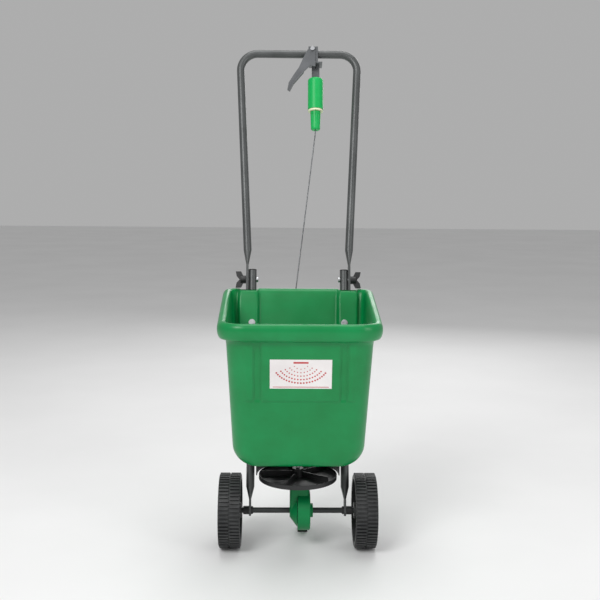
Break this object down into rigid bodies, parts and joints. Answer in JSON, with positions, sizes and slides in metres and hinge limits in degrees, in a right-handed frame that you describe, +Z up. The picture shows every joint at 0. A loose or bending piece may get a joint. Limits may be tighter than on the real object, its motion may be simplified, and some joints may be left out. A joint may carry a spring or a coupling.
{
  "type": "broadcast spreader",
  "caption": "Walk-behind rotary spreader: tapered hopper over a finned disc driven by the axle, two wheels, stand foot, folding U handle with trigger and dial.",
  "frame": {"origin": "on the ground, in the middle of the whole object's footprint", "axes": "+Z up, -Y forward with the labelled hopper wall, +X to the right seen from the front"},
  "size_m": [0.3368, 0.4734, 1.0974],
  "materials": {
    "hopper_green": "satin moulded green plastic",
    "dial_green": "bright green moulded plastic",
    "tube_grey": "dark grey powder coat",
    "steel": "zinc plated steel",
    "black_plastic": "matt black moulded plastic",
    "wheel_black": "matt black moulded plastic tread",
    "cream_plastic": "cream plastic",
    "label_white": "white sticker",
    "foot_rubber": "black rubber",
    "gear_white": "natural acetal plastic"
  },
  "bodies": {
    "frame": {"lower_tube_right": "tube_grey", "lower_tube_left": "tube_grey", "tube_cap_right": "black_plastic", "tube_cap_left": "black_plastic", "clamp_bolt_right": "steel", "clamp_bolt_left": "steel", "hopper": "hopper_green", "front_label": "label_white", "hopper_bolts_right": "steel", "hopper_bolts_left": "steel", "hopper_washers_right": "steel", "hopper_washers_left": "steel", "hopper_nuts_right": "steel", "hopper_nuts_left": "steel", "gate_guide_left": "black_plastic", "gate_guide_right": "black_plastic", "deflector": "black_plastic", "deflector_screws": "steel", "shaft_bush": "black_plastic", "gearbox_right": "hopper_green", "gearbox_left": "hopper_green", "gearbox_screws": "steel", "foot_pad": "foot_rubber", "axle_bush_right": "black_plastic", "axle_bush_left": "black_plastic", "control_cable": "steel", "cable_guide": "steel"},
    "axle": {"axle": "steel", "split_pins": "steel", "wheel_left": "wheel_black", "drive_pin": "steel", "ring_gear": "gear_white", "wheel_washer_left": "steel", "wheel_washer_right": "steel"},
    "wheel_right": {"wheel_right": "wheel_black"},
    "impeller": {"impeller_shaft": "steel", "pinion_gear": "gear_white", "pinion_pin": "steel", "spinner": "black_plastic", "spinner_pin": "steel", "agitator": "steel"},
    "handle": {"upper_handle": "tube_grey", "control_bracket": "steel", "saddle_blocks": "black_plastic", "pivot_rivet": "steel", "dial_housing": "dial_green", "dial_ring": "cream_plastic", "return_spring": "steel"},
    "trigger": {"trigger_lever": "tube_grey"},
    "dial": {"dial_knob": "dial_green"},
    "gate": {"gate_plate": "steel"},
    "wing_knob_left": {"wing_knob_left": "black_plastic"},
    "wing_knob_right": {"wing_knob_right": "black_plastic"}
  },
  "joints": [
    {"name": "axle_spin", "type": "hinge", "parent": "frame", "child": "axle", "pos_m": [0, -0.081, 0.08], "axis": [1, 0, 0], "continuous": true},
    {"name": "right_wheel_spin", "type": "hinge", "parent": "axle", "child": "wheel_right", "pos_m": [0, -0.081, 0.08], "axis": [1, 0, 0], "continuous": true},
    {"name": "impeller_spin", "type": "hinge", "parent": "frame", "child": "impeller", "pos_m": [0, -0.081, 0.15], "axis": [0, 0, 1], "continuous": true},
    {"name": "handle_fold", "type": "hinge", "parent": "frame", "child": "handle", "pos_m": [0, 0.06481, 0.566], "axis": [1, 0, 0], "range_deg": [0, 105], "deforming": ["control_cable"]},
    {"name": "trigger_squeeze", "type": "hinge", "parent": "handle", "child": "trigger", "pos_m": [0.031, 0.22102, 1.08667], "axis": [0, 0.9578, -0.2874], "range_deg": [0, 30], "stiffness_Nm_per_rad": 1, "springref_deg": -22.92, "deforming": ["return_spring"]},
    {"name": "dial_turn", "type": "hinge", "parent": "handle", "child": "dial", "pos_m": [0.0388, 0.17121, 0.90325], "axis": [0, 0.2874, 0.9578], "range_deg": [0, 270]},
    {"name": "gate_slide", "type": "slide", "parent": "frame", "child": "gate", "axis": [0, 1, 0], "range_m": [0, 0.03]},
    {"name": "left_knob_turn", "type": "hinge", "parent": "frame", "child": "wing_knob_left", "pos_m": [-0.128, 0.06481, 0.566], "axis": [1, 0, 0], "range_deg": [0, 720]},
    {"name": "right_knob_turn", "type": "hinge", "parent": "frame", "child": "wing_knob_right", "pos_m": [0.128, 0.06481, 0.566], "axis": [1, 0, 0], "range_deg": [0, 720]}
  ],
  "couplings": [
    {"joint": "impeller_spin", "follows": "axle_spin", "ratio": -3},
    {"joint": "gate_slide", "follows": "trigger_squeeze", "m_per_rad": 0.0573}
  ]
}
